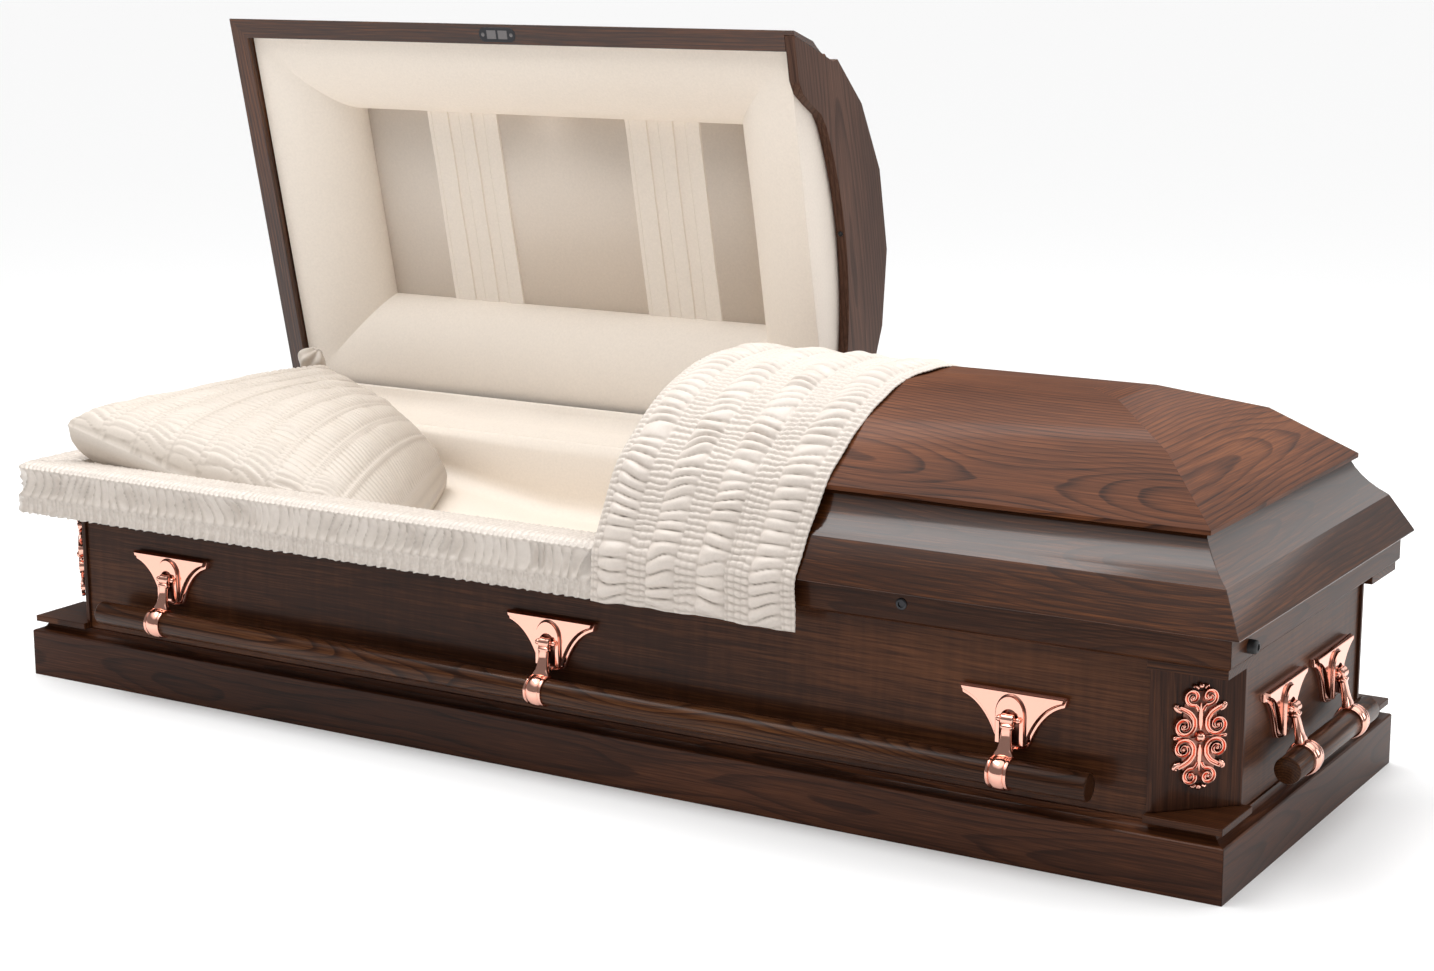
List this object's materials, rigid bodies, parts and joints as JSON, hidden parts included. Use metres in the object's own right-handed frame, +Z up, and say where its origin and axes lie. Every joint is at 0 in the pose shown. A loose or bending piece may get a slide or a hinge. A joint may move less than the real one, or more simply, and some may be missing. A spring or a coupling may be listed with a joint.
{
  "type": "funeral casket",
  "caption": "Wooden funeral casket with a divided hinged lid, padded cloth interior, swing bar handles along every side and cast scroll ornaments on canted corner posts.",
  "frame": {"origin": "centre of the underside of the base", "axes": "+X along the length toward the foot end, -Y toward the front where the lids open, +Z up"},
  "size_m": [2.1856, 0.9275, 1.0718],
  "materials": {
    "dark_walnut": "satin lacquer over dark stained walnut",
    "red_walnut": "semi-gloss lacquer over reddish walnut",
    "copper": "polished, with a rose copper plating",
    "hinge_steel": "dull plated",
    "ivory_cloth": "matt crepe over padding",
    "satin_cloth": "soft satin, gathered"
  },
  "bodies": {
    "casket": {"base_moulding": "dark_walnut", "bottom_board": "dark_walnut", "front_panel": "dark_walnut", "back_panel": "dark_walnut", "head_panel": "dark_walnut", "foot_panel": "dark_walnut", "front_foot_foot_block": "dark_walnut", "front_head_foot_block": "dark_walnut", "back_foot_foot_block": "dark_walnut", "back_head_foot_block": "dark_walnut", "front_foot_post": "dark_walnut", "front_head_post": "dark_walnut", "back_foot_post": "dark_walnut", "back_head_post": "dark_walnut", "front_foot_top_block": "dark_walnut", "front_head_top_block": "dark_walnut", "back_foot_top_block": "dark_walnut", "back_head_top_block": "dark_walnut", "top_moulding": "dark_walnut", "front_foot_ornament": "copper", "front_head_ornament": "copper", "back_foot_ornament": "copper", "back_head_ornament": "copper", "front_handle_plate_1": "copper", "front_handle_plate_2": "copper", "front_handle_plate_3": "copper", "back_handle_plate_1": "copper", "back_handle_plate_2": "copper", "back_handle_plate_3": "copper", "head_handle_plate_1": "copper", "head_handle_plate_2": "copper", "foot_handle_plate_1": "copper", "foot_handle_plate_2": "copper", "head_lid_hinge_strip": "hinge_steel", "foot_lid_hinge_strip": "hinge_steel", "body_lining": "ivory_cloth", "pillow": "ivory_cloth", "overlay": "satin_cloth"},
    "head_lid": {"head_lid_moulding": "dark_walnut", "head_lid_crown": "red_walnut", "head_lid_header": "red_walnut", "head_lid_lining": "ivory_cloth"},
    "foot_lid": {"foot_lid_moulding": "dark_walnut", "foot_lid_crown": "red_walnut", "foot_lid_header": "red_walnut", "throw": "satin_cloth"},
    "front_handle": {"front_handle_bar": "red_walnut", "front_handle_arm_1": "copper", "front_handle_arm_2": "copper", "front_handle_arm_3": "copper"},
    "back_handle": {"back_handle_bar": "red_walnut", "back_handle_arm_1": "copper", "back_handle_arm_2": "copper", "back_handle_arm_3": "copper"},
    "head_handle": {"head_handle_bar": "red_walnut", "head_handle_arm_1": "copper", "head_handle_arm_2": "copper"},
    "foot_handle": {"foot_handle_bar": "red_walnut", "foot_handle_arm_1": "copper", "foot_handle_arm_2": "copper"}
  },
  "joints": [
    {"name": "head_lid_hinge", "type": "hinge", "parent": "casket", "child": "head_lid", "pos_m": [0, 0.3678, 0.3555], "axis": [-1, 0, 0], "range_deg": [-78, 0], "deforming": ["overlay", "pillow"]},
    {"name": "foot_lid_hinge", "type": "hinge", "parent": "casket", "child": "foot_lid", "pos_m": [0, 0.3678, 0.3555], "axis": [-1, 0, 0], "range_deg": [0, 78]},
    {"name": "front_bar_swing", "type": "hinge", "parent": "casket", "child": "front_handle", "pos_m": [0, -0.3483, 0.202], "axis": [-1, 0, 0], "range_deg": [0, 75]},
    {"name": "back_bar_swing", "type": "hinge", "parent": "casket", "child": "back_handle", "pos_m": [0, 0.3483, 0.202], "axis": [1, 0, 0], "range_deg": [0, 75]},
    {"name": "head_bar_swing", "type": "hinge", "parent": "casket", "child": "head_handle", "pos_m": [-1.0513, 0, 0.202], "axis": [0, 1, 0], "range_deg": [0, 75]},
    {"name": "foot_bar_swing", "type": "hinge", "parent": "casket", "child": "foot_handle", "pos_m": [1.0513, 0, 0.202], "axis": [0, -1, 0], "range_deg": [0, 75]}
  ]
}
